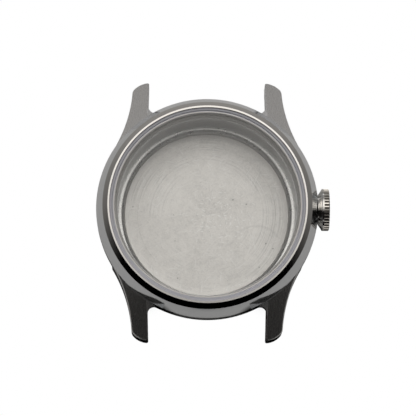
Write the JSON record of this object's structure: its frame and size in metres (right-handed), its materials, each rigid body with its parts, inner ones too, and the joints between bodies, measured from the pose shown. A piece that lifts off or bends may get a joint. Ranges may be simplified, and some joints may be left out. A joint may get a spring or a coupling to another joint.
{
  "type": "empty wristwatch case",
  "caption": "Empty round steel wristwatch case with four lugs, narrow polished bezel, clear flat crystal, fluted crown and push-fit back.",
  "frame": {"origin": "centre of the case back's resting face, on the axis of the case", "axes": "+Z out through the crystal, +Y to 12 o'clock, +X to the crown at 3 o'clock"},
  "size_m": [0.04, 0.0448, 0.0124],
  "materials": {
    "satin_steel": "brushed lug tops and polished shoulder",
    "polished_steel": "mirror polished",
    "turned_steel": "fine turned",
    "back_steel": "turned inside, lightly scratched",
    "crown_steel": "polished",
    "tube_steel": "plain turned",
    "crystal_glass": "clear, polished",
    "crystal_seal": "smooth translucent nylon",
    "white_nylon": "smooth",
    "black_rubber": "smooth"
  },
  "bodies": {
    "case": {"mid_case": "satin_steel", "bezel": "polished_steel", "bezel_gasket": "white_nylon", "rehaut_ring": "turned_steel", "crystal": "crystal_glass", "crystal_gasket": "crystal_seal", "crown_tube": "tube_steel"},
    "back": {"case_back": "back_steel", "case_back_gasket": "black_rubber"},
    "crown_seal": {"crown_gasket": "black_rubber", "crown_washer": "tube_steel"},
    "crown": {"crown": "crown_steel"}
  },
  "joints": [
    {"name": "case_back_off", "type": "slide", "parent": "case", "child": "back", "axis": [0, 0, -1], "range_m": [0, 0.015]},
    {"name": "crown_pull", "type": "slide", "parent": "case", "child": "crown_seal", "axis": [1, 0, 0], "range_m": [0, 0.0008]},
    {"name": "crown_turn", "type": "hinge", "parent": "crown_seal", "child": "crown", "pos_m": [0.0206, 0, 0.0063], "axis": [1, 0, 0], "continuous": true}
  ]
}
